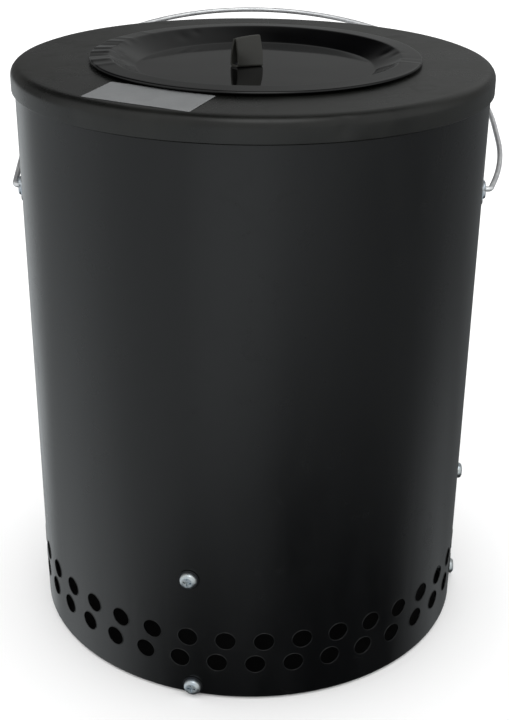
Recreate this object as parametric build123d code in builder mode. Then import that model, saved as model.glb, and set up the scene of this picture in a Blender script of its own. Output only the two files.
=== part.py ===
from build123d import *
from math import asin, cos, degrees, radians, sin, sqrt
import os

# Rocket stove: a sheet drum with a burning chamber hung inside it, a ring-shaped cap, a loose
# dished lid, a loose grate and ash pan, and a wire bail. Millimetres, +Z up. The origin is the
# centre of the underside, and azimuth 0 is the front (-Y), growing towards +X.

# Driving dimensions
BODY_RADIUS = 165.0
CAP_TOP = 424.0
SHELL_SHEET = 1.2
CAP_SHEET = 1.2
BASE_SHEET = 1.2
RING_SHEET = 1.6
CHAMBER_SHEET = 1.0
LID_SHEET = 1.0
SEAT_GAP = 0.05  # air left between pieces that bear on each other
CUT_MARGIN = 3.0  # how far a cutting tool reaches past the sheet it cuts
FLANGE_CUT = 8.0  # depth of the cuts through the flanges that stand inside the shell

# Places derived from them
SHELL_INSIDE = BODY_RADIUS - SHELL_SHEET
SHELL_FOOT = 1.5
SHELL_TOP = CAP_TOP - 3.7
CAP_UNDERSIDE = CAP_TOP - CAP_SHEET

# Air holes round the foot: two rows, the lower one set back by a fifth of a pitch
VENT_COUNT = 38
VENT_RADIUS = 7.6
VENT_ROWS = ((49.9, -5.62), (30.7, -7.72))  # height, azimuth of the first hole

# Bolt columns: the base flange is bolted low down, the shelf ring higher up
BASE_BOLT_AZIMUTHS = (-13.9, 88.0, 217.0)
RING_BOLT_AZIMUTHS = (-14.5, 88.0, 217.0)
BASE_BOLT_HEIGHT = 8.0
RING_BOLT_HEIGHT = 99.0
BOLT_RADIUS = 3.0
BOLT_HOLE_RADIUS = 3.3
BOLT_LENGTH = 12.5
BOLT_HEAD_RADIUS = 6.2
BOLT_HEAD_HEIGHT = 3.6
WASHER_RADIUS = 7.4
WASHER_SHEET = 1.0
NUT_ACROSS_FLATS = 10.0
NUT_HEIGHT = 5.0

# Inside: shelf ring, burning chamber, grate and ash pan
FLANGE_RADIUS = SHELL_INSIDE - SEAT_GAP
RING_BOTTOM = 90.4
RING_TOP = RING_BOTTOM + RING_SHEET
RING_HOLE_RADIUS = 95.0
RECESS_RADIUS = 108.6
RECESS_BOTTOM = 87.0
CHAMBER_RADIUS = 112.0
GRATE_RADIUS = 106.0
GRATE_THICKNESS = 5.0
GRATE_BOTTOM = RECESS_BOTTOM + RING_SHEET + 0.2
PAN_RADIUS = 86.0
PAN_TAPER = 6.0
PAN_RIM = 5.0
PAN_HEIGHT = 30.0
PAN_BOTTOM = BASE_SHEET + 0.1

# Mouth of the cap, and the lid that lies over it
MOUTH_RADIUS = 105.0
BEAD_CROWN_RADIUS = 109.0
BEAD_FOOT_RADIUS = 111.0
BEAD_HEIGHT = 2.2
LID_CENTRE = (1.6, -1.6)
LID_RADIUS = 114.8
LID_CREST_RADIUS = 101.0
LID_FLOOR_RADIUS = 83.0
LID_CREST = CAP_TOP + 4.2
LID_FLOOR = CAP_TOP - 5.0
LID_FLANGE_DROP = 0.6
LID_LIP_FLARE = 0.6
LID_LIP_DROP = 2.1

# Folded sheet loop that lifts the lid
STRAP_CENTRE = (-5.5, 1.6)
STRAP_YAW = 40.0
STRAP_WIDTH = 25.0
STRAP_HEIGHT = 19.8
STRAP_SHEET = 1.4
STRAP_FOOT = 9.2
STRAP_FOLD = 3.8
STRAP_BEND = 1.8
STRAP_RIVET_SPACING = 13.0

# Wire bail and its ears. The wire is bent a little wider on the right than on the left.
BAIL_HEIGHT = 331.0
BAIL_LEAN = 72.3  # back from upright, degrees
WIRE_RADIUS = 2.0
BAIL_RIGHT = 188.0
BAIL_LEFT = 172.8
BAIL_REACH = 274.0
BAIL_KNEE = 36.0
BAIL_ELBOW = 173.6
WIRE_END = 166.8
WIRE_HEAD_RADIUS = 3.4
WIRE_HEAD_LENGTH = 1.3
WIRE_BEND = 3.0
KNEE_BEND = 150.0
EAR_SHEET = 1.2
EAR_FACE = 169.2
EAR_WIDTH = 34.0
EAR_HEIGHT = 15.0
EAR_BOSS_RADIUS = 6.5
PIVOT_HOLE_RADIUS = 2.06
EAR_RIVET_OFFSET = 11.5
RIVET_RADIUS = 2.0
RIVET_HEAD_RADIUS = 3.6

os.makedirs("parts", exist_ok=True)


def radial_plane(azimuth, height, distance):
    """Plane facing away from the stove's axis, with its own Y upwards."""
    turn = radians(azimuth)
    outward = (sin(turn), -cos(turn), 0)
    origin = (distance * outward[0], distance * outward[1], height)
    return Plane(origin=origin, x_dir=(cos(turn), sin(turn), 0), z_dir=outward)


def ring_of_planes(count, first_azimuth, height, distance):
    """Evenly spaced radial planes."""
    return [radial_plane(first_azimuth + i * 360 / count, height, distance) for i in range(count)]


def sheet_face(points, radii, thickness, side=Side.LEFT):
    """Section of a bent sheet, given by the line along one of its sides."""
    with BuildSketch() as section:
        with BuildLine():
            FilletPolyline(*points, radius=radii)
            offset(amount=thickness, side=side)
        make_face()
    return section.sketch


def rivet(grip, shank_radius, head_radius, head_height, tail_radius, tail_height):
    """Set rivet along +Z: its grip is below Z = 0 and its domed head above."""
    with BuildPart() as piece:
        with BuildSketch():
            Circle(head_radius)
        extrude(amount=head_height)
        fillet(piece.edges().group_by(Axis.Z)[-1], head_height * 0.8)
        with BuildSketch():
            Circle(shank_radius)
        extrude(amount=-grip - tail_height)
        with BuildSketch(Plane.XY.offset(-grip)):
            Circle(tail_radius)
        extrude(amount=-tail_height)
    return piece.part


def save(piece, name):
    """Labels a finished piece and writes it."""
    piece.part.label = name
    export_step(piece.part, f"parts/{name}.step")


# Outer shell: rolled sheet drum with a lapped seam at the back
SEAM_WIDTH = 9.0
SEAM_PROUD = 0.7
SEAM_START = 5.0
SEAM_END = 25.0
SHELL_EDGE_ROUND = 0.4
SHELL_CUT_START = SHELL_INSIDE - CUT_MARGIN
SHELL_CUT = SHELL_SHEET + 2 * CUT_MARGIN
RIVET_TURN = degrees(asin(EAR_RIVET_OFFSET / BODY_RADIUS))
EAR_RIVET_AZIMUTHS = [side + turn for side in (90, -90) for turn in (-RIVET_TURN, RIVET_TURN)]

with BuildPart() as outer_shell:
    with BuildSketch(Plane.XY.offset(SHELL_FOOT)):
        Circle(BODY_RADIUS)
    extrude(amount=SHELL_TOP - SHELL_FOOT)
    with BuildSketch(radial_plane(180, SEAM_START, BODY_RADIUS - SHELL_SHEET / 2)):
        Rectangle(SEAM_WIDTH, SHELL_TOP - SEAM_START - SEAM_END, align=(Align.CENTER, Align.MIN))
    extrude(amount=SHELL_SHEET / 2 + SEAM_PROUD)
    with BuildSketch(Plane.XY.offset(SHELL_FOOT)):
        Circle(SHELL_INSIDE)
    extrude(amount=SHELL_TOP - SHELL_FOOT, mode=Mode.SUBTRACT)
    fillet(outer_shell.edges().filter_by(GeomType.CIRCLE).group_by(Axis.Z)[0], SHELL_EDGE_ROUND)
    for vent_height, first_vent in VENT_ROWS:
        with BuildSketch(*ring_of_planes(VENT_COUNT, first_vent, vent_height, SHELL_CUT_START)):
            Circle(VENT_RADIUS)
        extrude(amount=SHELL_CUT, mode=Mode.SUBTRACT)
    bolt_holes = [(a, BASE_BOLT_HEIGHT) for a in BASE_BOLT_AZIMUTHS]
    bolt_holes += [(a, RING_BOLT_HEIGHT) for a in RING_BOLT_AZIMUTHS]
    with BuildSketch(*[radial_plane(a, z, SHELL_CUT_START) for a, z in bolt_holes]):
        Circle(BOLT_HOLE_RADIUS)
    extrude(amount=SHELL_CUT, mode=Mode.SUBTRACT)
    with BuildSketch(*[radial_plane(a, BAIL_HEIGHT, SHELL_CUT_START) for a in EAR_RIVET_AZIMUTHS]):
        Circle(RIVET_RADIUS + SEAT_GAP)
    extrude(amount=SHELL_CUT, mode=Mode.SUBTRACT)
save(outer_shell, "outer_shell")

# Base plate: pressed pan whose upturned flange stands inside the shell
BASE_FLANGE_TOP = 17.0
BASE_BEND = 2.6
FLANGE_CUT_START = SHELL_INSIDE - 5

with BuildPart() as base_plate:
    with BuildSketch(Plane.XZ):
        add(
            sheet_face(
                [(0, 0), (FLANGE_RADIUS, 0), (FLANGE_RADIUS, BASE_FLANGE_TOP)],
                BASE_BEND,
                BASE_SHEET,
            )
        )
    revolve(axis=Axis.Z)
    with BuildSketch(*[radial_plane(a, BASE_BOLT_HEIGHT, FLANGE_CUT_START) for a in BASE_BOLT_AZIMUTHS]):
        Circle(BOLT_HOLE_RADIUS)
    extrude(amount=FLANGE_CUT, mode=Mode.SUBTRACT)
save(base_plate, "base_plate")

# Support ring: shelf that carries the chamber and the grate, with air holes round it
RING_AIR_HOLES = 12
RING_AIR_RADIUS = 13.0
RING_FLANGE_TOP = 112.0

with BuildPart() as support_ring:
    with BuildSketch(Plane.XZ):
        add(
            sheet_face(
                [
                    (RING_HOLE_RADIUS, RECESS_BOTTOM),
                    (RECESS_RADIUS, RECESS_BOTTOM),
                    (RECESS_RADIUS + 1.6, RING_BOTTOM),
                    (FLANGE_RADIUS, RING_BOTTOM),
                    (FLANGE_RADIUS, RING_FLANGE_TOP),
                ],
                [2.0, 0.8, 4.0],
                RING_SHEET,
            )
        )
    revolve(axis=Axis.Z)
    with BuildSketch(Plane.XY.offset(RING_BOTTOM - 1)):
        with PolarLocations((CHAMBER_RADIUS + FLANGE_RADIUS) / 2, RING_AIR_HOLES):
            Circle(RING_AIR_RADIUS)
    extrude(amount=RING_SHEET + 2, mode=Mode.SUBTRACT)
    with BuildSketch(*[radial_plane(a, RING_BOLT_HEIGHT, FLANGE_CUT_START) for a in RING_BOLT_AZIMUTHS]):
        Circle(BOLT_HOLE_RADIUS)
    extrude(amount=FLANGE_CUT, mode=Mode.SUBTRACT)
save(support_ring, "support_ring")

# Fire chamber: tube under the mouth, with primary air holes low down and secondary ones near the top
CHAMBER_FLANGE_RADIUS = 126.0
CHAMBER_BEND = 3.0
CHAMBER_CUT_START = CHAMBER_RADIUS - CHAMBER_SHEET - CUT_MARGIN
CHAMBER_CUT = CHAMBER_SHEET + 2 * CUT_MARGIN
CHAMBER_FLANGE_BOTTOM = CAP_UNDERSIDE - CHAMBER_SHEET - SEAT_GAP
CHAMBER_AIR_ROWS = (  # height, holes, hole radius, azimuth of the first hole
    (106.0, 24, 5.0, 0.0),
    (122.0, 24, 5.0, 7.5),
    (378.0, 36, 4.0, 0.0),
    (392.0, 36, 4.0, 5.0),
)

with BuildPart() as fire_chamber:
    with BuildSketch(Plane.XZ):
        add(
            sheet_face(
                [
                    (CHAMBER_RADIUS, RING_TOP + SEAT_GAP),
                    (CHAMBER_RADIUS, CHAMBER_FLANGE_BOTTOM),
                    (CHAMBER_FLANGE_RADIUS, CHAMBER_FLANGE_BOTTOM),
                ],
                CHAMBER_BEND,
                CHAMBER_SHEET,
            )
        )
    revolve(axis=Axis.Z)
    for hole_height, hole_count, hole_radius, first_hole in CHAMBER_AIR_ROWS:
        with BuildSketch(*ring_of_planes(hole_count, first_hole, hole_height, CHAMBER_CUT_START)):
            Circle(hole_radius)
        extrude(amount=CHAMBER_CUT, mode=Mode.SUBTRACT)
save(fire_chamber, "fire_chamber")

# Top cap: rounded shoulder and skirt outside, raised bead and collar round the mouth
CAP_RADIUS = 167.4
CAP_SHOULDER = 7.0
SKIRT_BOTTOM = CAP_TOP - 17.0
COLLAR_BOTTOM = CAP_TOP - 9.0

with BuildPart() as top_cap:
    with BuildSketch(Plane.XZ):
        add(
            sheet_face(
                [
                    (CAP_RADIUS - 0.8, SKIRT_BOTTOM),
                    (CAP_RADIUS, SKIRT_BOTTOM + 2.5),
                    (CAP_RADIUS, CAP_TOP),
                    (BEAD_FOOT_RADIUS, CAP_TOP),
                    (BEAD_CROWN_RADIUS, CAP_TOP + BEAD_HEIGHT),
                    (MOUTH_RADIUS, CAP_TOP + BEAD_HEIGHT),
                    (MOUTH_RADIUS, COLLAR_BOTTOM),
                ],
                [2.0, CAP_SHOULDER, 1.6, 1.3, 2.2],
                CAP_SHEET,
            )
        )
    revolve(axis=Axis.Z)
save(top_cap, "top_cap")

# Plain blank sticker on the cap
LABEL_CENTRE = (-63.9, -117.8)
LABEL_SIZE = (77.3, 43.2)
LABEL_TURN = -28.2
LABEL_SLANT = 3.45  # the long edges lie this far off centre, so the corners aren't square
LABEL_THICKNESS = 0.2
LABEL_CORNER = 1.0

half_length, half_width = LABEL_SIZE[0] / 2, LABEL_SIZE[1] / 2
LABEL_CORNERS = (
    (LABEL_SLANT - half_length, -half_width),
    (LABEL_SLANT + half_length, -half_width),
    (half_length - LABEL_SLANT, half_width),
    (-half_length - LABEL_SLANT, half_width),
)

with BuildPart() as label_plate:
    with BuildSketch(Plane.XY.offset(CAP_TOP)) as label_outline:
        with Locations(Location((*LABEL_CENTRE, 0), LABEL_TURN)):
            Polygon(*LABEL_CORNERS)
        fillet(label_outline.vertices(), LABEL_CORNER)
    extrude(amount=LABEL_THICKNESS)
save(label_plate, "label_plate")

# Bolts: cross-recessed mushroom heads outside on flat washers, hexagon nuts inside
HEAD_SEAT = BODY_RADIUS + WASHER_SHEET + 2 * SEAT_GAP
NUT_FACE = FLANGE_RADIUS - RING_SHEET - 0.2 - SEAT_GAP
RECESS_SPAN = 6.0
RECESS_WIDTH = 1.3
RECESS_DEPTH = 1.8
WASHER_ROUND = 0.6
NUT_CHAMFER = 0.6

with BuildPart() as bolt:
    with BuildSketch():
        Circle(BOLT_HEAD_RADIUS)
    extrude(amount=BOLT_HEAD_HEIGHT)
    fillet(bolt.edges().group_by(Axis.Z)[-1], BOLT_HEAD_HEIGHT * 0.75)
    with BuildSketch():
        Circle(BOLT_RADIUS)
    extrude(amount=-BOLT_LENGTH)
    with BuildSketch(Plane.XY.offset(BOLT_HEAD_HEIGHT - RECESS_DEPTH)):
        Rectangle(RECESS_SPAN, RECESS_WIDTH)
        Rectangle(RECESS_WIDTH, RECESS_SPAN)
    extrude(amount=RECESS_DEPTH, mode=Mode.SUBTRACT)

with BuildPart() as washer:
    with BuildSketch():
        Circle(WASHER_RADIUS)
        Circle(BOLT_RADIUS + 0.2, mode=Mode.SUBTRACT)
    extrude(amount=WASHER_SHEET)
    fillet(washer.edges().group_by(Axis.Z)[-1].sort_by(SortBy.LENGTH)[-1], WASHER_ROUND)

with BuildPart() as nut:
    with BuildSketch():
        RegularPolygon(NUT_ACROSS_FLATS / 2, 6, major_radius=False)
        Circle(BOLT_RADIUS + SEAT_GAP, mode=Mode.SUBTRACT)
    extrude(amount=-NUT_HEIGHT)
    chamfer(nut.edges().group_by(Axis.Z)[0].filter_by(GeomType.LINE), NUT_CHAMFER)

FASTENER_KINDS = (  # name, solid, distance of its seat from the axis
    ("bolts", bolt, HEAD_SEAT),
    ("washers", washer, BODY_RADIUS + SEAT_GAP),
    ("nuts", nut, NUT_FACE),
)
BOLT_ROWS = (("base", BASE_BOLT_HEIGHT, BASE_BOLT_AZIMUTHS), ("ring", RING_BOLT_HEIGHT, RING_BOLT_AZIMUTHS))
for row_name, row_height, azimuths in BOLT_ROWS:
    for kind, blank, distance in FASTENER_KINDS:
        with BuildPart() as fasteners:
            with Locations(*[radial_plane(a, row_height, distance).location for a in azimuths]):
                add(blank.part)
        save(fasteners, f"{row_name}_{kind}")

# Ears: pressed plates riveted to the sides, each with a hollow boss that the bail end turns in
EAR_BLANK_START = BODY_RADIUS - 10
EAR_BLANK_DEPTH = 30
EAR_CORNER = 5.0
EAR_BOSS_ROUND = 1.0
EAR_SHELL_FACE = BODY_RADIUS + SEAT_GAP
EAR_CUT = 20

for side_name, azimuth in (("right", 90), ("left", -90)):
    with BuildPart() as ear:
        with BuildSketch(radial_plane(azimuth, BAIL_HEIGHT, EAR_BLANK_START)):
            RectangleRounded(EAR_WIDTH, EAR_HEIGHT, EAR_CORNER)
        extrude(amount=EAR_BLANK_DEPTH)
        with BuildSketch(Plane.XY.offset(BAIL_HEIGHT - EAR_HEIGHT)):
            Circle(EAR_SHELL_FACE + EAR_SHEET)
        extrude(amount=2 * EAR_HEIGHT, mode=Mode.INTERSECT)
        with BuildSketch(radial_plane(azimuth, BAIL_HEIGHT, EAR_BLANK_START)):
            Circle(EAR_BOSS_RADIUS)
        extrude(amount=EAR_FACE - EAR_BLANK_START)
        boss_rim = ear.edges().filter_by(GeomType.CIRCLE).sort_by_distance(
            radial_plane(azimuth, BAIL_HEIGHT, EAR_FACE).origin
        )[0]
        fillet(boss_rim, EAR_BOSS_ROUND)
        with BuildSketch(radial_plane(azimuth, BAIL_HEIGHT, EAR_FACE - EAR_SHEET)):
            Circle(EAR_BOSS_RADIUS - EAR_SHEET)
        extrude(amount=-EAR_CUT, mode=Mode.SUBTRACT)
        with BuildSketch(Plane.XY.offset(BAIL_HEIGHT - EAR_HEIGHT)):
            Circle(EAR_SHELL_FACE)
        extrude(amount=2 * EAR_HEIGHT, mode=Mode.SUBTRACT)
        with BuildSketch(radial_plane(azimuth, BAIL_HEIGHT, EAR_FACE + CUT_MARGIN)):
            Circle(PIVOT_HOLE_RADIUS)
        extrude(amount=-EAR_SHEET - 2 * CUT_MARGIN, mode=Mode.SUBTRACT)
        with BuildSketch(
            *[radial_plane(azimuth + t, BAIL_HEIGHT, SHELL_CUT_START) for t in (-RIVET_TURN, RIVET_TURN)]
        ):
            Circle(RIVET_RADIUS + SEAT_GAP)
        extrude(amount=SHELL_CUT + EAR_SHEET, mode=Mode.SUBTRACT)
    save(ear, f"{side_name}_ear")

EAR_GRIP = EAR_SHEET + SHELL_SHEET + 0.3
RIVET_HEAD_HEIGHT = 2.0
RIVET_TAIL_RADIUS = 3.2
RIVET_TAIL_HEIGHT = 1.4

ear_rivet = rivet(
    EAR_GRIP, RIVET_RADIUS, RIVET_HEAD_RADIUS, RIVET_HEAD_HEIGHT, RIVET_TAIL_RADIUS, RIVET_TAIL_HEIGHT
)
with BuildPart() as ear_rivets:
    rivet_seat = BODY_RADIUS + EAR_SHEET + 2 * SEAT_GAP
    with Locations(*[radial_plane(a, BAIL_HEIGHT, rivet_seat).location for a in EAR_RIVET_AZIMUTHS]):
        add(ear_rivet)
save(ear_rivets, "ear_rivets")

# Bail: one wire with headed ends, leaning back about the line between the ears
lean = radians(BAIL_LEAN)
BAIL_PLANE = Plane(origin=(0, 0, BAIL_HEIGHT), x_dir=(1, 0, 0), z_dir=(0, -cos(lean), sin(lean)))

with BuildPart() as bail_wire:
    with BuildLine(BAIL_PLANE) as wire_path:
        FilletPolyline(
            (WIRE_END, 0),
            (BAIL_ELBOW, 0),
            (BAIL_RIGHT, BAIL_KNEE),
            (BAIL_RIGHT, BAIL_REACH),
            (-BAIL_LEFT, BAIL_REACH),
            (-BAIL_LEFT, 0),
            (-WIRE_END, 0),
            radius=[WIRE_BEND, KNEE_BEND, BAIL_RIGHT - 0.5, BAIL_LEFT - 0.5, WIRE_BEND],
        )
    with BuildSketch(Plane(origin=(WIRE_END, 0, BAIL_HEIGHT), x_dir=(0, 1, 0), z_dir=(1, 0, 0))):
        Circle(WIRE_RADIUS)
    sweep()
    with BuildSketch(*[radial_plane(a, BAIL_HEIGHT, WIRE_END - 0.5) for a in (90, -90)]):
        Circle(WIRE_HEAD_RADIUS)
    extrude(amount=WIRE_HEAD_LENGTH)
save(bail_wire, "bail_wire")

# Lid pan: flat floor, sloping wall, crest and a wide flange with a turned-down edge
LID_SECTION = Plane(origin=(*LID_CENTRE, 0), x_dir=(1, 0, 0), z_dir=(0, -1, 0))
STRAP_ALONG = Vector(cos(radians(STRAP_YAW)), sin(radians(STRAP_YAW)), 0)
STRAP_BACKWARD = Vector(-sin(radians(STRAP_YAW)), cos(radians(STRAP_YAW)), 0)
STRAP_ORIGIN = Vector(*STRAP_CENTRE, LID_FLOOR)
RIVET_POINTS = [STRAP_ORIGIN + STRAP_ALONG * (i * STRAP_RIVET_SPACING / 2) for i in (-1, 1)]
LID_RIVET_RADIUS = 1.6
LID_RIVET_HOLE = LID_RIVET_RADIUS + SEAT_GAP

with BuildPart() as lid_pan:
    with BuildSketch(LID_SECTION):
        add(
            sheet_face(
                [
                    (0, LID_FLOOR),
                    (LID_FLOOR_RADIUS, LID_FLOOR),
                    (LID_CREST_RADIUS, LID_CREST),
                    (LID_RADIUS, LID_CREST - LID_FLANGE_DROP),
                    (LID_RADIUS + LID_LIP_FLARE, LID_CREST - LID_LIP_DROP),
                ],
                [4.0, 4.0, 1.4],
                LID_SHEET,
                Side.RIGHT,
            )
        )
    revolve(axis=Axis((*LID_CENTRE, 0), (0, 0, 1)))
    with BuildSketch(Plane.XY.offset(LID_FLOOR + CUT_MARGIN)):
        with Locations(*RIVET_POINTS):
            Circle(LID_RIVET_HOLE)
    extrude(amount=-LID_SHEET - 2 * CUT_MARGIN, mode=Mode.SUBTRACT)
save(lid_pan, "lid_pan")

# Lid strap: sheet folded into a closed loop, narrow at the top
with BuildPart() as lid_strap:
    with BuildSketch(Plane(origin=STRAP_ORIGIN, x_dir=STRAP_BACKWARD, z_dir=STRAP_ALONG)):
        with BuildLine():
            FilletPolyline(
                (-STRAP_FOOT / 2, 0),
                (STRAP_FOOT / 2, 0),
                (STRAP_FOLD / 2, STRAP_HEIGHT),
                (-STRAP_FOLD / 2, STRAP_HEIGHT),
                radius=STRAP_BEND,
                close=True,
            )
        make_face()
        offset(amount=-STRAP_SHEET, mode=Mode.SUBTRACT)
    extrude(amount=STRAP_WIDTH / 2, both=True)
    with BuildSketch(Plane.XY.offset(LID_FLOOR)):
        with Locations(*RIVET_POINTS):
            Circle(LID_RIVET_HOLE)
    extrude(amount=2 * STRAP_SHEET, mode=Mode.SUBTRACT)
save(lid_strap, "lid_strap")

# Lid rivets and the washers under the lid
BURR_WASHER_RADIUS = 4.5
BURR_WASHER_SHEET = 0.9

LID_GRIP = STRAP_SHEET + LID_SHEET + BURR_WASHER_SHEET
LID_RIVET_HEAD = (2.7, 1.3)  # radius, height
LID_RIVET_TAIL = (2.6, 0.9)

lid_rivet = rivet(LID_GRIP, LID_RIVET_RADIUS, *LID_RIVET_HEAD, *LID_RIVET_TAIL)
with BuildPart() as lid_rivets:
    with Locations(*[point + Vector(0, 0, STRAP_SHEET) for point in RIVET_POINTS]):
        add(lid_rivet)
save(lid_rivets, "lid_rivets")

with BuildPart() as lid_washers:
    with BuildSketch(Plane.XY.offset(LID_FLOOR - LID_SHEET)):
        with Locations(*RIVET_POINTS):
            Circle(BURR_WASHER_RADIUS)
            Circle(LID_RIVET_HOLE, mode=Mode.SUBTRACT)
    extrude(amount=-BURR_WASHER_SHEET)
save(lid_washers, "lid_washers")

# Fire grate: cast disc with parallel slots either side of a middle rib
SLOT_WIDTH = 9.0
SLOT_PITCH = 16.0
SLOT_COLUMNS = 11
GRATE_RIM = 9.0
GRATE_RIB = 8.0

with BuildPart() as fire_grate:
    with BuildSketch(Plane.XY.offset(GRATE_BOTTOM)):
        Circle(GRATE_RADIUS)
        for column in range(SLOT_COLUMNS):
            across = (column - (SLOT_COLUMNS - 1) / 2) * SLOT_PITCH
            reach = sqrt((GRATE_RADIUS - GRATE_RIM) ** 2 - (abs(across) + SLOT_WIDTH / 2) ** 2)
            length = reach - GRATE_RIB / 2
            for half in (-1, 1):
                with Locations((across, half * (GRATE_RIB + length) / 2)):
                    SlotOverall(length, SLOT_WIDTH, rotation=90, mode=Mode.SUBTRACT)
    extrude(amount=GRATE_THICKNESS)
save(fire_grate, "fire_grate")

# Ash pan: shallow dish with an outward rim, small enough to lift out through the shelf ring
with BuildPart() as ash_pan:
    with BuildSketch(Plane.XZ):
        add(
            sheet_face(
                [
                    (0, PAN_BOTTOM),
                    (PAN_RADIUS - PAN_TAPER, PAN_BOTTOM),
                    (PAN_RADIUS, PAN_BOTTOM + PAN_HEIGHT - CHAMBER_SHEET),
                    (PAN_RADIUS + PAN_RIM, PAN_BOTTOM + PAN_HEIGHT - CHAMBER_SHEET),
                ],
                [5.0, 1.5],
                CHAMBER_SHEET,
            )
        )
    revolve(axis=Axis.Z)
save(ash_pan, "ash_pan")
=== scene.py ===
import math

import bmesh
import bpy
from mathutils import Matrix, Vector, noise


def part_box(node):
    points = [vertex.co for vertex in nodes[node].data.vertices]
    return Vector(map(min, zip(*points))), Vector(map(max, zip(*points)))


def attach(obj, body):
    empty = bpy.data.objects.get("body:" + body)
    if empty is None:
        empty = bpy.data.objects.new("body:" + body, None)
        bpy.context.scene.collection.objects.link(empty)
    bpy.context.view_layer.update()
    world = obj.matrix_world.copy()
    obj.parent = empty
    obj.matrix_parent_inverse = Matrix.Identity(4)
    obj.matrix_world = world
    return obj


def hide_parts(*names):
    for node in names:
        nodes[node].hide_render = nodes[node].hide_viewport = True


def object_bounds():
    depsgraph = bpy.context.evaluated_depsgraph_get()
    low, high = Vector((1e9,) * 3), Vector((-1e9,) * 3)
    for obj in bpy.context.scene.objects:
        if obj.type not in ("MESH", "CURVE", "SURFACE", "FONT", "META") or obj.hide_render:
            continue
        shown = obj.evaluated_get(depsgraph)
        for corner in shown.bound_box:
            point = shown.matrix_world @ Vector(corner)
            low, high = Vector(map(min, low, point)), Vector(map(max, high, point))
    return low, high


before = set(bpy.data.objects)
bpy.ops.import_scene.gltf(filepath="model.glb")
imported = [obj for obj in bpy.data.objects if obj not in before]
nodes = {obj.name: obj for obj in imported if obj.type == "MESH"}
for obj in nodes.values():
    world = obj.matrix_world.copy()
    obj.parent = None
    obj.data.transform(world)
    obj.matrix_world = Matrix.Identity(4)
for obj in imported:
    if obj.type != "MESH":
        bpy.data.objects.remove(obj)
cad_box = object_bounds()
MM = 0.001


# ---------------------------------------------------------------- node helpers


def add(tree, kind, **settings):
    """New shader node with its settings."""
    made = tree.nodes.new(kind)
    for key, value in settings.items():
        setattr(made, key, value)
    return made


def link(tree, source, target):
    """Joins an output to an input, or sets a plain value on it."""
    if isinstance(source, bpy.types.NodeSocket):
        tree.links.new(source, target)
    else:
        target.default_value = source


def math_node(tree, operation, a, b):
    """Sum or product of two values."""
    made = add(tree, "ShaderNodeMath", operation=operation)
    link(tree, a, made.inputs[0])
    link(tree, b, made.inputs[1])
    return made.outputs[0]


def remap(tree, value, low, high, to_low, to_high, smooth=True):
    """Value from low..high to to_low..to_high, held at the ends; smooth eases in and out."""
    made = add(tree, "ShaderNodeMapRange", interpolation_type="SMOOTHSTEP" if smooth else "LINEAR")
    link(tree, value, made.inputs["Value"])
    made.inputs["From Min"].default_value = low
    made.inputs["From Max"].default_value = high
    link(tree, to_low, made.inputs["To Min"])
    link(tree, to_high, made.inputs["To Max"])
    return made.outputs[0]


def stretched(tree, factors=(1, 1, 1), offset=(0, 0, 0)):
    """Object coordinates, scaled on each axis and shifted."""
    coordinates = add(tree, "ShaderNodeTexCoord")
    made = add(tree, "ShaderNodeMapping")
    link(tree, coordinates.outputs["Object"], made.inputs["Vector"])
    made.inputs["Scale"].default_value = factors
    made.inputs["Location"].default_value = offset
    return made.outputs[0]


def grain(tree, scale, detail=2.0, rough=0.5, vector=None, distortion=0.0):
    """Noise between 0 and 1; scale is in cycles per metre."""
    made = add(tree, "ShaderNodeTexNoise")
    link(tree, vector or stretched(tree), made.inputs["Vector"])
    made.inputs["Scale"].default_value = scale
    made.inputs["Detail"].default_value = detail
    made.inputs["Roughness"].default_value = rough
    made.inputs["Distortion"].default_value = distortion
    return made.outputs["Fac"]


def cells(tree, scale, vector=None):
    """Distance to the nearest of many scattered points; scale is in points per metre."""
    made = add(tree, "ShaderNodeTexVoronoi")
    link(tree, vector or stretched(tree), made.inputs["Vector"])
    made.inputs["Scale"].default_value = scale
    return made.outputs["Distance"]


def mixed(tree, factor, a, b):
    """Colour between a and b."""
    made = add(tree, "ShaderNodeMix", data_type="RGBA")
    link(tree, factor, made.inputs["Factor"])
    link(tree, a, made.inputs["A"])
    link(tree, b, made.inputs["B"])
    return made.outputs["Result"]


def bumped(tree, height, distance, strength=1.0, over=None):
    """Surface normal bent by a height field; distance is in metres."""
    made = add(tree, "ShaderNodeBump")
    made.inputs["Distance"].default_value = distance
    made.inputs["Strength"].default_value = strength
    link(tree, height, made.inputs["Height"])
    if over is not None:
        link(tree, over, made.inputs["Normal"])
    return made.outputs["Normal"]


def finish_material(name, metallic=0.0, ior=1.5, coat=0.0, coat_roughness=0.1):
    """New material, with the values that are the same all over set on the shader."""
    made = bpy.data.materials.new(name)
    made.use_nodes = True
    shader = made.node_tree.nodes["Principled BSDF"]
    shader.inputs["Metallic"].default_value = metallic
    shader.inputs["IOR"].default_value = ior
    shader.inputs["Coat Weight"].default_value = coat
    shader.inputs["Coat Roughness"].default_value = coat_roughness
    return made, made.node_tree, shader


def dress(obj, made):
    """Gives an object one material."""
    if not obj.material_slots:
        obj.data.materials.append(made)
    for place in obj.material_slots:
        place.material = made


# ---------------------------------------------------------------- materials


# dust specks are this much brighter than the dusty paint, plus a base brightness
SPECK_GAIN, SPECK_BASE = 5, 0.01
BLUE_TINT = (0.86, 0.92, 1.0)


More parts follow.
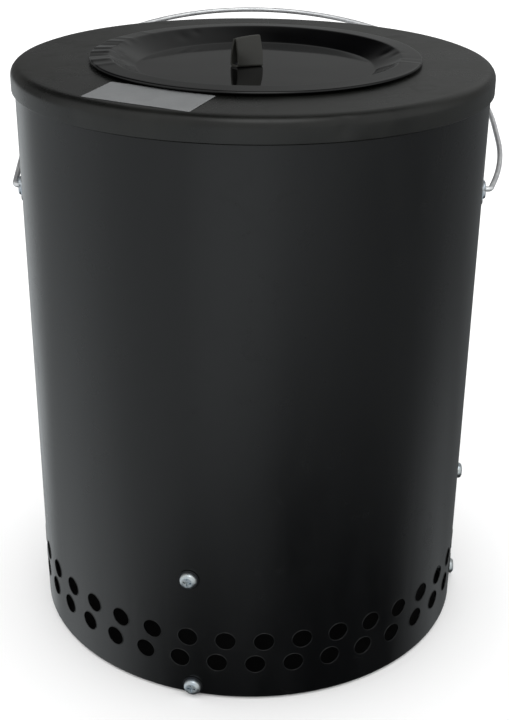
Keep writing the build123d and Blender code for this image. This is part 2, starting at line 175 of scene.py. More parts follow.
def black_paint(name, base, dust, gloss, peel, wave, stretch=(1, 1, 1), offset=(0, 0, 0)):
    """Sprayed black enamel: orange peel, faint rolling waves, hazy patches and settled dust.

    gloss is the roughness, peel and wave are heights in metres, stretch and offset place the patches.
    """
    made, tree, shader = finish_material(name, ior=1.43)
    here = stretched(tree, offset=offset)
    along = stretched(tree, stretch, offset)
    patches = grain(tree, scale=14.0, detail=4.0, rough=0.6, vector=along)
    shade = mixed(tree, remap(tree, patches, 0.35, 0.7, 0.0, 1.0), base, dust)
    specks = remap(tree, cells(tree, 420.0, here), 0.03, 0.09, 1.0, 0.0)
    sparse = remap(tree, grain(tree, scale=38.0, vector=here), 0.60, 0.72, 0.0, 1.0)
    dusty = math_node(tree, "MULTIPLY", specks, sparse)
    speck_share = math_node(tree, "MULTIPLY", dusty, 0.5)
    grey = tuple(min(1.0, c * SPECK_GAIN + SPECK_BASE) for c in dust[:3]) + (1.0,)
    link(tree, mixed(tree, speck_share, shade, grey), shader.inputs["Base Color"])
    haze = grain(tree, scale=55.0, detail=5.0, rough=0.65, vector=here, distortion=0.6)
    even = remap(tree, patches, 0.3, 0.7, 0.85 * gloss, 1.2 * gloss)
    hazy = remap(tree, haze, 0.5, 0.8, 0.0, 0.3 * gloss)
    link(tree, math_node(tree, "ADD", even, hazy), shader.inputs["Roughness"])
    rolled = bumped(tree, grain(tree, scale=9.0, detail=1.0, rough=0.4, vector=along), wave)
    peeled = bumped(tree, grain(tree, scale=620.0, vector=here), peel, over=rolled)
    link(tree, peeled, shader.inputs["Normal"])
    return made


def zinc(name, tone, gloss):
    """Zinc plate with a faint blue passivation and fine handling marks; gloss is the roughness."""
    made, tree, shader = finish_material(name, metallic=1.0)
    cloud = remap(tree, grain(tree, scale=160.0, detail=3.0, rough=0.6), 0.35, 0.65, 0.0, 1.0)
    blue = tuple(c * k for c, k in zip(tone[:3], BLUE_TINT)) + (1.0,)
    link(tree, mixed(tree, cloud, tone, blue), shader.inputs["Base Color"])
    marks = grain(tree, scale=420.0, detail=4.0, rough=0.7)
    link(tree, remap(tree, marks, 0.3, 0.7, gloss - 0.07, gloss + 0.1), shader.inputs["Roughness"])
    skin = grain(tree, scale=1500.0, detail=3.0, rough=0.6)
    link(tree, bumped(tree, skin, 0.00002), shader.inputs["Normal"])
    return made


def galvanised(name):
    """Drawn galvanised wire: dull spangle and fine lines along the drawing."""
    made, tree, shader = finish_material(name, metallic=0.85)
    spangle = remap(tree, grain(tree, scale=160.0, detail=3.0, rough=0.55), 0.35, 0.65, 0.0, 1.0)
    light, dull = (0.84, 0.85, 0.86, 1.0), (0.70, 0.71, 0.73, 1.0)
    link(tree, mixed(tree, spangle, light, dull), shader.inputs["Base Color"])
    streak = grain(tree, scale=300.0, detail=3.0, rough=0.6, vector=stretched(tree, (0.25, 1, 1)))
    link(tree, remap(tree, streak, 0.3, 0.7, 0.28, 0.5), shader.inputs["Roughness"])
    link(tree, bumped(tree, streak, 0.00003), shader.inputs["Normal"])
    return made


def chamber_steel(name):
    """Bare rolled sheet, browned by heat towards the top and sooty in patches."""
    made, tree, shader = finish_material(name, metallic=0.9)
    rolled = grain(tree, scale=240.0, detail=4.0, rough=0.6, vector=stretched(tree, (1, 1, 0.06)))
    clean = mixed(tree, rolled, (0.30, 0.30, 0.31, 1.0), (0.42, 0.42, 0.42, 1.0))
    coordinates = add(tree, "ShaderNodeTexCoord")
    place = add(tree, "ShaderNodeSeparateXYZ")
    link(tree, coordinates.outputs["Object"], place.inputs[0])
    height = remap(tree, place.outputs["Z"], 0.10, 0.42, 0.0, 1.0, False)
    browned = mixed(tree, height, clean, (0.25, 0.19, 0.15, 1.0))
    soot = grain(tree, scale=22.0, detail=5.0, rough=0.65, distortion=0.8)
    black = remap(tree, soot, 0.45, 0.7, 0.0, 0.85)
    link(tree, mixed(tree, black, browned, (0.03, 0.028, 0.027, 1.0)), shader.inputs["Base Color"])
    link(tree, remap(tree, soot, 0.4, 0.7, 0.32, 0.75), shader.inputs["Roughness"])
    link(tree, bumped(tree, rolled, 0.00004), shader.inputs["Normal"])
    return made


def cast_iron(name):
    """Sand casting: coarse skin, pits and a rusty bloom."""
    made, tree, shader = finish_material(name, metallic=0.35)
    skin = grain(tree, scale=520.0, detail=5.0, rough=0.7)
    iron = mixed(tree, skin, (0.030, 0.030, 0.032, 1.0), (0.075, 0.073, 0.070, 1.0))
    bloom = remap(tree, grain(tree, scale=60.0, detail=4.0, rough=0.6), 0.55, 0.75, 0.0, 0.6)
    link(tree, mixed(tree, bloom, iron, (0.13, 0.055, 0.028, 1.0)), shader.inputs["Base Color"])
    link(tree, remap(tree, skin, 0.3, 0.7, 0.55, 0.85), shader.inputs["Roughness"])
    coarse = bumped(tree, skin, 0.0004)
    pits = remap(tree, cells(tree, 330.0), 0.05, 0.3, 0.0, 1.0)
    link(tree, bumped(tree, pits, 0.00025, 0.5, coarse), shader.inputs["Normal"])
    return made


def sticker(name):
    """Grey vinyl sticker: faint mottle, pale fibres and a soft sheen."""
    made, tree, shader = finish_material(name, ior=1.46, coat=0.15, coat_roughness=0.3)
    mottle = grain(tree, scale=90.0, detail=4.0, rough=0.6)
    base = mixed(tree, mottle, (0.135, 0.140, 0.143, 1.0), (0.165, 0.170, 0.173, 1.0))
    fibre = grain(tree, scale=1400.0, rough=0.6)
    pale = remap(tree, fibre, 0.55, 0.75, 0.0, 0.25)
    link(tree, mixed(tree, pale, base, (0.20, 0.205, 0.21, 1.0)), shader.inputs["Base Color"])
    link(tree, remap(tree, mottle, 0.3, 0.7, 0.5, 0.62), shader.inputs["Roughness"])
    link(tree, bumped(tree, fibre, 0.00002), shader.inputs["Normal"])
    return made


SHELL_PAINT = black_paint(
    "shell_paint",
    base=(0.0010, 0.0011, 0.0013, 1),
    dust=(0.0022, 0.0024, 0.0027, 1),
    gloss=0.22,
    peel=0.000012,
    wave=0.0009,
    stretch=(1, 1, 0.3),
)
CAP_PAINT = black_paint(
    "cap_paint",
    base=(0.0022, 0.0024, 0.0021, 1),
    dust=(0.0068, 0.0072, 0.0062, 1),
    gloss=0.28,
    peel=0.000016,
    wave=0.0007,
    offset=(3, 1, 2),
)
LID_PAINT = black_paint(
    "lid_gloss",
    base=(0.0009, 0.0009, 0.0010, 1),
    dust=(0.0016, 0.0016, 0.0018, 1),
    gloss=0.055,
    peel=0.000003,
    wave=0.0002,
    offset=(5, 2, 7),
)
STRAP_PAINT = black_paint(
    "strap_paint",
    base=(0.0170, 0.0172, 0.0145, 1),
    dust=(0.0260, 0.0260, 0.0225, 1),
    gloss=0.36,
    peel=0.000020,
    wave=0.0002,
    offset=(1, 7, 3),
)
HIDDEN_PAINT = black_paint(
    "inside_paint",
    base=(0.0060, 0.0060, 0.0062, 1),
    dust=(0.0100, 0.0100, 0.0100, 1),
    gloss=0.45,
    peel=0.000020,
    wave=0.0004,
    offset=(9, 4, 1),
)
BOLT_ZINC = zinc("bolt_zinc", tone=(0.62, 0.65, 0.65, 1.0), gloss=0.36)
EAR_ZINC = zinc("ear_zinc", tone=(0.55, 0.57, 0.58, 1.0), gloss=0.42)
WASHER_STEEL = zinc("washer_steel", tone=(0.030, 0.030, 0.032, 1.0), gloss=0.5)
WIRE = galvanised("wire_galvanised")
CHAMBER = chamber_steel("chamber_sheet")
IRON = cast_iron("grate_iron")
VINYL = sticker("label_vinyl")

for names, finish in (
    (("outer_shell",), SHELL_PAINT),
    (("right_ear", "left_ear", "ear_rivets"), EAR_ZINC),
    (("base_plate", "support_ring"), HIDDEN_PAINT),
    (("base_bolts", "ring_bolts", "base_nuts", "ring_nuts"), BOLT_ZINC),
    (("base_washers", "ring_washers", "lid_rivets", "lid_washers"), WASHER_STEEL),
    (("bail_wire",), WIRE),
    (("fire_chamber", "ash_pan"), CHAMBER),
):
    for node_name in names:
        dress(nodes[node_name], finish)


# ---------------------------------------------------------------- mesh helpers


def rounded(points, radii, steps=6):
    """Bent line with its inner corners turned into arcs of the given radii."""
    corners = [Vector(p) for p in points]
    line = [corners[0]]
    for before, corner, after, radius in zip(corners, corners[1:], corners[2:], radii):
        one, two = (before - corner).normalized(), (after - corner).normalized()
        half = one.angle(two) / 2
        centre = corner + (one + two).normalized() * radius / math.sin(half)
        start = corner + one * radius / math.tan(half) - centre
        end = corner + two * radius / math.tan(half) - centre
        turn = start.angle(end)
        for i in range(steps + 1):
            share = i / steps
            swing = start * math.sin((1 - share) * turn) + end * math.sin(share * turn)
            line.append(centre + swing / math.sin(turn))
    line.append(corners[-1])
    return line


def divided(line, step):
    """The same line with no run longer than step."""
    out = [line[0]]
    for a, b in zip(line, line[1:]):
        count = max(1, math.ceil((b - a).length / step))
        out += [a.lerp(b, (i + 1) / count) for i in range(count)]
    return out


def object_from(name, bm, body, slot_name, finish, *replaced):
    """Mesh object that rides on a body; it stands for the CAD nodes that are named last, if any."""
    mesh = bpy.data.meshes.new(name)
    bm.to_mesh(mesh)
    bm.free()
    for face in mesh.polygons:
        face.use_smooth = True
    made = bpy.data.objects.new(name, mesh)
    bpy.context.scene.collection.objects.link(made)
    dress(made, finish)
    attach(made, body)
    if replaced:
        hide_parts(*replaced)
    return made


def thicken(obj, thickness):
    """Sheet thickness, added on the side away from the normals."""
    sheet = obj.modifiers.new("sheet", "SOLIDIFY")
    sheet.thickness = thickness
    sheet.offset = -1
    sheet.use_quality_normals = True


def smooth_by_angle(mesh, degrees):
    """Keeps edges sharper than this angle sharp."""
    limit = math.radians(degrees)
    bm = bmesh.new()
    bm.from_mesh(mesh)
    for edge in bm.edges:
        if len(edge.link_faces) == 2:
            edge.smooth = edge.calc_face_angle(0.0) < limit
    bm.to_mesh(mesh)
    bm.free()


ON_AXIS = 1e-7


def revolved(section, centre, segments, shift):
    """Sheet surface turned about a vertical axis.

    shift gives the final place of a point from its radius, azimuth in degrees, x, y and z.
    """
    bm = bmesh.new()
    rings = []
    for radius, height in section:
        if radius < ON_AXIS:
            rings.append([bm.verts.new(shift(0.0, 0.0, centre[0], centre[1], height))])
            continue
        ring = []
        for i in range(segments):
            azimuth = 2 * math.pi * i / segments
            x = centre[0] + radius * math.sin(azimuth)
            y = centre[1] - radius * math.cos(azimuth)
            ring.append(bm.verts.new(shift(radius, math.degrees(azimuth), x, y, height)))
        rings.append(ring)
    for inner, outer in zip(rings, rings[1:]):
        for i in range(segments):
            k = (i + 1) % segments
            if len(inner) == 1:
                bm.faces.new((inner[0], outer[i], outer[k]))
            else:
                bm.faces.new((inner[i], outer[i], outer[k], inner[k]))
    return bm


def hump(distance, width):
    """Bell curve, 1 at no distance."""
    return math.exp(-((distance / width) ** 2))


def turn_between(a, b):
    """Smallest angle between two azimuths, in degrees."""
    return abs((a - b + 180) % 360 - 180)


# ---------------------------------------------------------------- lid pan

lid_low, lid_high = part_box("lid_pan")
lid_centre = (lid_low + lid_high) / 2
lid_reach = (lid_high.x - lid_low.x) / 2
strap_low, strap_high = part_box("lid_strap")
lid_floor = strap_low.z
lid_crest = lid_high.z
LID_SHEET = 1.0 * MM
LIP_FLARE = 0.6 * MM
FLANGE_FALL = 0.6 * MM
LIP_FALL = 2.1 * MM
WALL_BEND = 4 * MM
LIP_BEND = 1.4 * MM
LID_STEP = 2.0 * MM
LID_SEGMENTS = 540
# from the lid's rim in to the top and to the foot of its wall
CREST_INSET, FLOOR_INSET = 14.4 * MM, 32.4 * MM
crest_radius = lid_reach - CREST_INSET
floor_radius = lid_reach - FLOOR_INSET
lid_section = divided(
    rounded(
        [
            (0, lid_floor),
            (floor_radius, lid_floor),
            (crest_radius, lid_crest),
            (lid_reach - LIP_FLARE, lid_crest - FLANGE_FALL),
            (lid_reach, lid_crest - LIP_FALL),
        ],
        [WALL_BEND, WALL_BEND, LIP_BEND],
    ),
    LID_STEP,
)
# azimuth, height in mm, width in degrees
FLANGE_WRINKLES = (
    (243, 0.30, 1.9),
    (250, 0.45, 2.0),
    (257, -0.40, 1.8),
    (263, 0.50, 2.0),
    (270, 0.55, 2.2),
    (277, -0.35, 1.8),
    (284, 0.45, 2.2),
    (292, 0.25, 2.0),
    (75, 0.42, 1.1),
    (229, 0.18, 1.6),
    (83, -0.16, 1.5),
)
# azimuth, radius in mm, depth in mm, width in mm
WALL_DENTS = (
    (264, 97.0, 0.75, 4.5),
    (273, 98.0, 0.90, 4.0),
    (282, 95.0, 0.60, 5.0),
    (216, 94.0, 0.45, 5.0),
    (208, 97.0, 0.35, 3.5),
    (101, 95.0, 0.45, 5.0),
    (93, 98.5, 0.30, 4.0),
)
LID_TILT = 0.0045
# heights in mm and cycles per metre of the noise in the floor and in the wall
FLOOR_WAVE, FLOOR_SCALE = 0.12, 26
WALL_WAVE, WALL_SCALE = 0.30, 22
# where the wrinkles and waves fade in and out, measured along the radius
FLANGE_START, FLANGE_FADE = 6 * MM, 9 * MM
CALM_CENTRE = 40 * MM
WALL_MIDDLE, WALL_REACH = 5 * MM, 9 * MM


def bend_lid(radius, azimuth, x, y, z):
    """Pressing wrinkles in the flange, dents high on the wall and a floor that isn't quite flat."""
    flange = min(1.0, max(0.0, (radius - crest_radius + FLANGE_START) / FLANGE_FADE))
    rise = sum(h * hump(turn_between(azimuth, a), w) for a, h, w in FLANGE_WRINKLES) * flange
    for a, r, depth, width in WALL_DENTS:
        across = math.radians(turn_between(azimuth, a)) * radius / MM
        rise -= depth * hump(math.hypot(across, radius / MM - r), width)
    place = Vector((x, y, 0))
    rise += FLOOR_WAVE * noise.noise(place * FLOOR_SCALE) * min(1.0, radius / CALM_CENTRE)
    wall = hump(radius - crest_radius + WALL_MIDDLE, WALL_REACH)
    rise += WALL_WAVE * noise.noise(Vector((x, y, 3.0)) * WALL_SCALE) * wall
    return (x, y, z + rise * MM + LID_TILT * (y - lid_centre.y))


lid_surface = revolved(lid_section, lid_centre, LID_SEGMENTS, bend_lid)
lid_sheet = object_from("lid_sheet", lid_surface, "lid", "gloss_black", LID_PAINT, "lid_pan")
thicken(lid_sheet, LID_SHEET)


# ---------------------------------------------------------------- top cap

cap_low, cap_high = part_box("top_cap")
cap_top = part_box("label_plate")[0].z
cap_radius = cap_high.x
CAP_SHEET = 1.2 * MM
MOUTH = 105.0 * MM
BEAD_CROWN = 109.0 * MM
BEAD_FOOT = 111.0 * MM
MOUTH_DEPTH = 9 * MM
SKIRT_CURL = 0.7 * MM
SKIRT_CURL_HEIGHT = 0.6 * MM
# mouth, crown and foot of the bead, shoulder, curl
CAP_BENDS = (2.2 * MM, 1.3 * MM, 1.6 * MM, 7 * MM, 0.5 * MM)
CAP_STEP = 4.0 * MM
CAP_SEGMENTS = 720
cap_section = divided(
    rounded(
        [
            (MOUTH, cap_top - MOUTH_DEPTH),
            (MOUTH, cap_high.z),
            (BEAD_CROWN, cap_high.z),
            (BEAD_FOOT, cap_top),
            (cap_radius, cap_top),
            (cap_radius, cap_low.z + SKIRT_CURL_HEIGHT),
            (cap_radius - SKIRT_CURL, cap_low.z),
        ],
        CAP_BENDS,
    ),
    CAP_STEP,
)
# azimuth, height under the cap's top in mm, depth in mm, width in mm
SKIRT_DENTS = (
    (19, 7.5, 0.95, 5.0),
    (23, 11.0, -0.30, 5.0),
    (36, 9.0, 0.22, 10.0),
    (-12, 10.0, 0.22, 14.0),
    (-41, 9.0, 0.35, 9.0),
    (142, 9.0, 0.5, 8.0),
    (245, 8.0, 0.4, 9.0),
)
# heights in mm and cycles per metre of the noise in the skirt and in the top
SKIRT_WAVE, SKIRT_SCALE = 0.10, 24
TOP_WAVE, TOP_SCALE, TOP_SINK = 0.16, 15, 0.18
# where the skirt's knocks and the top's waves fade in, measured along the radius
SKIRT_START, SKIRT_FADE = 12 * MM, 10 * MM
TOP_FADE = 12 * MM
SKIRT_CALM = 0.6


def bend_cap(radius, azimuth, x, y, z):
    """Slow waves in the top and small knocks in the skirt."""
    place = Vector((x, y, z))
    inwards = 0.0
    under = (cap_top - z) / MM
    outside = min(1.0, max(0.0, (radius - cap_radius + SKIRT_START) / SKIRT_FADE))
    for a, h, depth, width in SKIRT_DENTS:
        across = math.radians(turn_between(azimuth, a)) * radius / MM
        inwards += depth * hump(math.hypot(across, under - h), width)
    inwards = (inwards + SKIRT_WAVE + SKIRT_WAVE * noise.noise(place * SKIRT_SCALE)) * outside
    flat = min(1.0, max(0.0, (radius - BEAD_FOOT) / TOP_FADE))
    sink = (TOP_WAVE * noise.noise(place * TOP_SCALE) + TOP_SINK) * flat * (1.0 - SKIRT_CALM * outside)
    scale = 1 - inwards * MM / max(radius, MM)
    return (x * scale, y * scale, z - sink * MM)


cap_surface = revolved(cap_section, (0, 0), CAP_SEGMENTS, bend_cap)
cap_sheet = object_from("cap_sheet", cap_surface, "stove", "black_paint", CAP_PAINT, "top_cap")
thicken(cap_sheet, CAP_SHEET)


# ---------------------------------------------------------------- lid strap

STRAP_SHIFT = 0.9 * MM
STRAP_YAW = math.radians(40)
STRAP_SHEET = 1.4 * MM
STRAP_WIDTH = 22.6 * MM
STRAP_TWIST = 9.0 * MM
STRAP_FOOT = 3.9 * MM
STRAP_FOLD = 1.7 * MM
STRAP_BOW = 0.2 * MM
STRAP_WAIST = 0.45
FOOT_BEND, BOW_BEND, FOLD_BEND = 1.9 * MM, 30 * MM, 1.6 * MM
BEND_STEPS = 8
STRAP_ROWS = 26
EDGE_ROUND = 0.28 * MM
# small bends that grow towards the strap's ends
END_LEAN, END_SAG, END_SPREAD, END_TAPER = 0.5 * MM, 0.35 * MM, 0.05, 0.25 * MM
TWIST_FALL = 1.3
TWIST_START = 2 * MM
KNOCK_DEPTH, KNOCK_SCALE = 0.12 * MM, 120
strap_centre = (strap_low + strap_high) / 2 + Vector((STRAP_SHIFT, 0, 0))
strap_height = strap_high.z - strap_low.z
strap_along = Vector((math.cos(STRAP_YAW), math.sin(STRAP_YAW), 0))
strap_back = Vector((-math.sin(STRAP_YAW), math.cos(STRAP_YAW), 0))


def strap_mesh():
    """Closed band: a wide foot that twists at the front, sides that bow and a narrow fold along the top."""
    waist = STRAP_WAIST * strap_height
    ring = rounded(
        [
            (0, 0),
            (STRAP_FOOT, 0),
            (STRAP_FOOT + STRAP_BOW, waist),
            (STRAP_FOLD, strap_height),
            (-STRAP_FOLD, strap_height),
            (-STRAP_FOOT - STRAP_BOW, waist),
            (-STRAP_FOOT, 0),
            (0, 0),
        ],
        [FOOT_BEND, BOW_BEND, FOLD_BEND, FOLD_BEND, BOW_BEND, FOOT_BEND],
        BEND_STEPS,
    )[:-1]
    bm = bmesh.new()
    grid = []
    for j in range(STRAP_ROWS + 1):
        share = 2 * j / STRAP_ROWS - 1
        along = share * STRAP_WIDTH / 2
        row = []
        for u, v in ring:
            lift = v / strap_height
            lean = END_LEAN * share * lift
            sag = -END_SAG * (share**2) * max(0.0, lift - 0.5) * 2
            spread = 1.0 + END_SPREAD * (share**2) * (1 - lift)
            place = strap_along * (along - END_TAPER * lift * share) + strap_back * (u * spread + lean)
            if u < 0:
                twist = STRAP_TWIST * (share + 1) / 2 * (1 - lift) ** TWIST_FALL
                place.y -= twist * min(1.0, -u / TWIST_START)
            knock = KNOCK_DEPTH * noise.noise(Vector((along, u, v)) * KNOCK_SCALE)
            z = lid_floor + v + min(0.0, sag + knock) * lift
            row.append(bm.verts.new((strap_centre.x + place.x, strap_centre.y + place.y, z)))
        grid.append(row)
    count = len(ring)
    for one, two in zip(grid, grid[1:]):
        for i in range(count):
            k = (i + 1) % count
            bm.faces.new((one[i], two[i], two[k], one[k]))
    bmesh.ops.recalc_face_normals(bm, faces=bm.faces)
    return bm


lid_handle = object_from("lid_handle", strap_mesh(), "lid", "black_paint", STRAP_PAINT, "lid_strap")
thicken(lid_handle, STRAP_SHEET)
strap_edges = lid_handle.modifiers.new("edges", "BEVEL")
strap_edges.width = EDGE_ROUND
strap_edges.segments = 3
strap_edges.limit_method = "ANGLE"
strap_edges.angle_limit = math.radians(50)


# ---------------------------------------------------------------- rolled edges of the air holes

shell_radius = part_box("outer_shell")[1].x
VENT_COUNT = 38
VENT_RADIUS = 7.6 * MM
# height of the row, azimuth of its first hole in degrees
VENT_ROWS = ((49.9 * MM, -5.62), (30.7 * MM, -7.72))
LIP_RADIUS = 0.38 * MM
LIP_STEPS, LIP_SIDES = 40, 8
# how far the lip's centre lies inside the hole's edge and under the shell's face, in lip radii
LIP_INSET, LIP_SINK = 0.6, 0.25


def vent_lips():
    """A small rolled lip round every air hole, standing just proud of the shell."""
    bm = bmesh.new()
    for height, first in VENT_ROWS:
        for k in range(VENT_COUNT):
            azimuth = math.radians(first + 360 * k / VENT_COUNT)
            loops = []
            for i in range(LIP_STEPS):
                a = 2 * math.pi * i / LIP_STEPS
                loop = []
                for j in range(LIP_SIDES):
                    b = 2 * math.pi * j / LIP_SIDES
                    reach = VENT_RADIUS + LIP_RADIUS * (math.cos(b) - LIP_INSET)
                    out = shell_radius + LIP_RADIUS * (math.sin(b) - LIP_SINK)
                    turn = azimuth + reach * math.cos(a) / shell_radius
                    z = height + reach * math.sin(a)
                    loop.append(bm.verts.new((out * math.sin(turn), -out * math.cos(turn), z)))
                loops.append(loop)
            for one, two in zip(loops, loops[1:] + loops[:1]):
                for j in range(LIP_SIDES):
                    n = (j + 1) % LIP_SIDES
                    bm.faces.new((one[j], two[j], two[n], one[n]))
    bmesh.ops.recalc_face_normals(bm, faces=bm.faces)
    return bm


object_from("vent_lips", vent_lips(), "stove", "black_paint", SHELL_PAINT)


# ---------------------------------------------------------------- label

LABEL_TURN = math.radians(-28.2)
LABEL_SIZE = (77.3 * MM, 43.2 * MM)
LABEL_SLANT = 6.9 * MM
LABEL_CORNER = 1.2 * MM
LABEL_SHEET = 0.12 * MM
LABEL_CREASE_X = -57.0 * MM
LABEL_CREASE_WIDTH = 1.3 * MM
LABEL_CREASE_SLOPE = 0.12
LABEL_GRID = (66, 36)
# in mm: height of the crease, height of the ripples, and how far the sheet lies under its CAD box's top
CREASE_RISE, RIPPLE_RISE, LABEL_SINK = 0.10, 0.05, 0.12
RIPPLE_SCALE = 70
label_low, label_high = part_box("label_plate")
label_centre = (label_low + label_high) / 2


def label_mesh():
    """Slanted flat sheet with rounded corners, one faint crease and small ripples."""
    across, along = LABEL_GRID
    width, depth = LABEL_SIZE
    bm = bmesh.new()
    grid = []
    for i in range(across + 1):
        row = []
        for j in range(along + 1):
            u = (i / across - 0.5) * width
            v = (j / along - 0.5) * depth
            over_u = max(0, abs(u) - width / 2 + LABEL_CORNER)
            over_v = max(0, abs(v) - depth / 2 + LABEL_CORNER)
            excess = Vector((over_u, over_v))
            if excess.length > LABEL_CORNER:
                pull = excess * (1 - LABEL_CORNER / excess.length)
                u -= math.copysign(pull.x, u)
                v -= math.copysign(pull.y, v)
            u -= LABEL_SLANT * v / depth
            x = label_centre.x + u * math.cos(LABEL_TURN) - v * math.sin(LABEL_TURN)
            y = label_centre.y + u * math.sin(LABEL_TURN) + v * math.cos(LABEL_TURN)
            from_crease = x - LABEL_CREASE_X - LABEL_CREASE_SLOPE * (y - label_centre.y)
            crease = CREASE_RISE * hump(from_crease, LABEL_CREASE_WIDTH)
            ripple = RIPPLE_RISE * noise.noise(Vector((x, y, 0)) * RIPPLE_SCALE)
            row.append(bm.verts.new((x, y, label_high.z + (crease + ripple - LABEL_SINK) * MM)))
        grid.append(row)
    for one, two in zip(grid, grid[1:]):
        for k in range(along):
            bm.faces.new((one[k], two[k], two[k + 1], one[k + 1]))
    return bm


label_sheet = object_from("label_sheet", label_mesh(), "stove", "blank_label", VINYL, "label_plate")
thicken(label_sheet, LABEL_SHEET)


# ---------------------------------------------------------------- fire grate

GRATE_ROUND = 0.7 * MM
SLOT_PITCH = 16 * MM
SLOT_WIDTH = 9 * MM
SLOT_COLUMNS = 11
GRATE_RIM = 9 * MM
GRATE_RIB = 8 * MM
SAME_PLACE = 1e-6
GRATE_SHARP = 35


def grate_disc():
    """Disc with rounded edges and two rows of slots, made from a filled outline."""
    low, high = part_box("fire_grate")
    radius = (high.x - low.x) / 2
    thickness = high.z - low.z
    outline = bpy.data.curves.new("grate_outline", "CURVE")
    outline.dimensions = "2D"
    outline.fill_mode = "BOTH"
    outline.extrude = thickness / 2 - GRATE_ROUND
    outline.bevel_depth = GRATE_ROUND
    outline.bevel_resolution = 3
    outline.offset = -GRATE_ROUND

    def loop(points):
        """Closed polygon in the outline."""
        spline = outline.splines.new("POLY")
        spline.points.add(len(points) - 1)
        for point, (x, y) in zip(spline.points, points):
            point.co = (x, y, 0, 1)
        spline.use_cyclic_u = True

    rim_turns = [math.radians(a) for a in range(0, 360, 2)]
    loop([(radius * math.cos(turn), radius * math.sin(turn)) for turn in rim_turns])
    end_radius = SLOT_WIDTH / 2
    for column in range(SLOT_COLUMNS):
        across = (column - (SLOT_COLUMNS - 1) / 2) * SLOT_PITCH
        reach = math.sqrt((radius - GRATE_RIM) ** 2 - (abs(across) + end_radius) ** 2)
        for half in (-1, 1):
            first, last = half * (GRATE_RIB / 2 + end_radius), half * (reach - end_radius)
            if abs(last) < abs(first):
                continue
            points = []
            for base, start in ((last, 0 if half > 0 else 180), (first, 180 if half > 0 else 0)):
                for a in range(0, 181, 15):
                    turn = math.radians(start + a)
                    points.append((across + end_radius * math.cos(turn), base + end_radius * math.sin(turn)))
            loop(points)
    holder = bpy.data.objects.new("grate_outline", outline)
    bpy.context.scene.collection.objects.link(holder)
    bpy.context.view_layer.update()
    mesh = bpy.data.meshes.new_from_object(holder)
    bpy.data.objects.remove(holder)
    bm = bmesh.new()
    bm.from_mesh(mesh)
    bmesh.ops.remove_doubles(bm, verts=bm.verts, dist=SAME_PLACE)
    centre = ((low.x + high.x) / 2, (low.y + high.y) / 2, (low.z + high.z) / 2)
    bmesh.ops.translate(bm, verts=bm.verts, vec=centre)
    bmesh.ops.recalc_face_normals(bm, faces=bm.faces)
    return bm


grate_casting = object_from("grate_casting", grate_disc(), "grate", "cast_grate", IRON, "fire_grate")
smooth_by_angle(grate_casting.data, GRATE_SHARP)


# ---------------------------------------------------------------- stage, light and camera

FLOOR_RADIUS = 40.0
FLOOR_GAP = 0.2 * MM
FLOOR_SIDES = 96
FLOOR_WHITE = (0.95, 0.95, 0.95, 1)
floor_mesh = bpy.data.meshes.new("studio_floor")
bm = bmesh.new()
bmesh.ops.create_circle(bm, cap_ends=True, segments=FLOOR_SIDES, radius=FLOOR_RADIUS)
bm.to_mesh(floor_mesh)
bm.free()
studio_floor = bpy.data.objects.new("studio_floor", floor_mesh)
bpy.context.scene.collection.objects.link(studio_floor)
studio_floor.location.z = cad_box[0].z - FLOOR_GAP
floor_paint, _, floor_shader = finish_material("floor_paint", ior=1.1)
floor_shader.inputs["Base Color"].default_value = FLOOR_WHITE
floor_shader.inputs["Roughness"].default_value = 0.9
dress(studio_floor, floor_paint)
studio_floor.visible_glossy = False

world = bpy.data.worlds.new("studio")
bpy.context.scene.world = world
world.use_nodes = True
sky = world.node_tree
sky.nodes.clear()
sky_out = add(sky, "ShaderNodeOutputWorld")
sky_light = add(sky, "ShaderNodeBackground")
sky_direction = add(sky, "ShaderNodeTexCoord").outputs["Generated"]
sky_parts = add(sky, "ShaderNodeSeparateXYZ")
link(sky, sky_direction, sky_parts.inputs[0])


def towards(azimuth, elevation):
    """Direction as a vector: azimuth 0 is in front of the stove (-Y), 90 on its right (+X)."""
    a, e = math.radians(azimuth), math.radians(elevation)
    return (math.sin(a) * math.cos(e), -math.cos(a) * math.cos(e), math.sin(e))


def lobe(azimuth, elevation, inner, outer):
    """1 within inner degrees of a direction, fading to 0 at outer degrees."""
    dot = add(sky, "ShaderNodeVectorMath", operation="DOT_PRODUCT")
    link(sky, sky_direction, dot.inputs[0])
    dot.inputs[1].default_value = towards(azimuth, elevation)
    low, high = math.cos(math.radians(outer)), math.cos(math.radians(inner))
    return remap(sky, dot.outputs["Value"], low, high, 0.0, 1.0)


# what the stove mirrors: brightness of the floor, of the sky in front and of the sky behind
FLOOR_GLOW, SKY_FRONT, SKY_BACK = 0.76, 0.75, 0.20
LOW_TINT, HIGH_TINT = (0.95, 1.0, 1.02, 1), (0.985, 1.0, 0.99, 1)
# what the camera sees behind the stove, and the light that falls on floor and stove
BACKDROP_WHITE = (1.0, 1.0, 1.0, 1)
ROOM_LIGHT = (1.42, 1.42, 1.42, 1)
# softboxes and dark flags round the stove: azimuth, elevation, inner, outer, strength
LOW_BOXES = (
    (-7, -18, 3, 26, 0.22),
    (-95, -42, 5, 30, 0.20),
    (115, -42, 5, 24, 0.18),
    (-155, -18, 4, 26, 0.45),
)
LOW_FLAGS = (
    (33, -80, 46, 58, 0.98),
    (125, -8, 10, 122, 0.70),
    (-165, -20, 15, 80, 0.34),
)
HIGH_BOXES = (
    (155, 42, 6, 34, 0.35),
    (8, 62, 6, 24, 1.60),
)
HIGH_FLAGS = (
    (174, 62, 25, 44, 0.995),
    (-150, 44, 10, 34, 0.95),
    (-150, 12, 5, 40, 0.25),
)


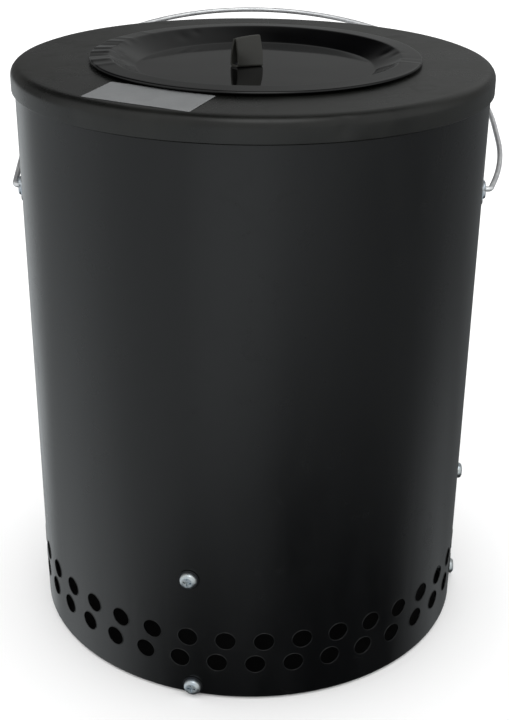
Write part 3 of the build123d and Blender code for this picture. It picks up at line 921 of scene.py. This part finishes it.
def lit(start, flags, boxes):
    """Brightness with its dark flags taken away and its softboxes added."""
    value = start
    for azimuth, elevation, inner, outer, strength in flags:
        kept = remap(sky, lobe(azimuth, elevation, inner, outer), 0.0, 1.0, 1.0, 1 - strength, False)
        value = math_node(sky, "MULTIPLY", value, kept)
    for azimuth, elevation, inner, outer, strength in boxes:
        box = math_node(sky, "MULTIPLY", lobe(azimuth, elevation, inner, outer), strength)
        value = math_node(sky, "ADD", value, box)
    return value


# parts of the direction between which front turns to back, floor to sky and low tint to high tint
FRONT_TO_BACK, FLOOR_TO_SKY, LOW_TO_HIGH = (-0.2, 0.5), (-0.14, -0.02), (-0.3, 0.2)
behind = remap(sky, sky_parts.outputs["Y"], *FRONT_TO_BACK, SKY_FRONT, SKY_BACK)
low_part = lit(FLOOR_GLOW, LOW_FLAGS, LOW_BOXES)
high_part = lit(behind, HIGH_FLAGS, HIGH_BOXES)
glow = remap(sky, sky_parts.outputs["Z"], *FLOOR_TO_SKY, low_part, high_part)
tint = mixed(sky, remap(sky, sky_parts.outputs["Z"], *LOW_TO_HIGH, 0.0, 1.0), LOW_TINT, HIGH_TINT)
rays = add(sky, "ShaderNodeLightPath")
reflected = add(sky, "ShaderNodeVectorMath", operation="SCALE")
link(sky, tint, reflected.inputs[0])
link(sky, glow, reflected.inputs["Scale"])
seen = mixed(sky, rays.outputs["Is Camera Ray"], ROOM_LIGHT, BACKDROP_WHITE)
sky_colour = mixed(sky, rays.outputs["Is Glossy Ray"], seen, reflected.outputs[0])
link(sky, sky_colour, sky_light.inputs["Color"])
sky_light.inputs["Strength"].default_value = 1.0
link(sky, sky_light.outputs[0], sky_out.inputs["Surface"])

CAMERA_PLACE = Vector((0.0, -0.8789, 0.6005))
# in radians
CAMERA_PITCH, CAMERA_ROLL, CAMERA_YAW = 0.4350, 0.0101, 0.0037
# in millimetres
CAMERA_LENS, CAMERA_SENSOR = 62.55, 36.0
ahead = Vector(
    (
        math.sin(CAMERA_YAW) * math.cos(CAMERA_PITCH),
        math.cos(CAMERA_YAW) * math.cos(CAMERA_PITCH),
        -math.sin(CAMERA_PITCH),
    )
)
level = Vector((math.cos(CAMERA_YAW), -math.sin(CAMERA_YAW), 0))
above = level.cross(ahead)
right = level * math.cos(CAMERA_ROLL) + above * math.sin(CAMERA_ROLL)
up = above * math.cos(CAMERA_ROLL) - level * math.sin(CAMERA_ROLL)
camera_data = bpy.data.cameras.new("camera")
camera_data.sensor_width = CAMERA_SENSOR
camera_data.lens = CAMERA_LENS
camera = bpy.data.objects.new("camera", camera_data)
bpy.context.scene.collection.objects.link(camera)
camera.matrix_world = Matrix((right, up, -ahead)).transposed().to_4x4()
camera.location = CAMERA_PLACE
bpy.context.scene.camera = camera
bpy.context.scene.view_settings.view_transform = "Standard"
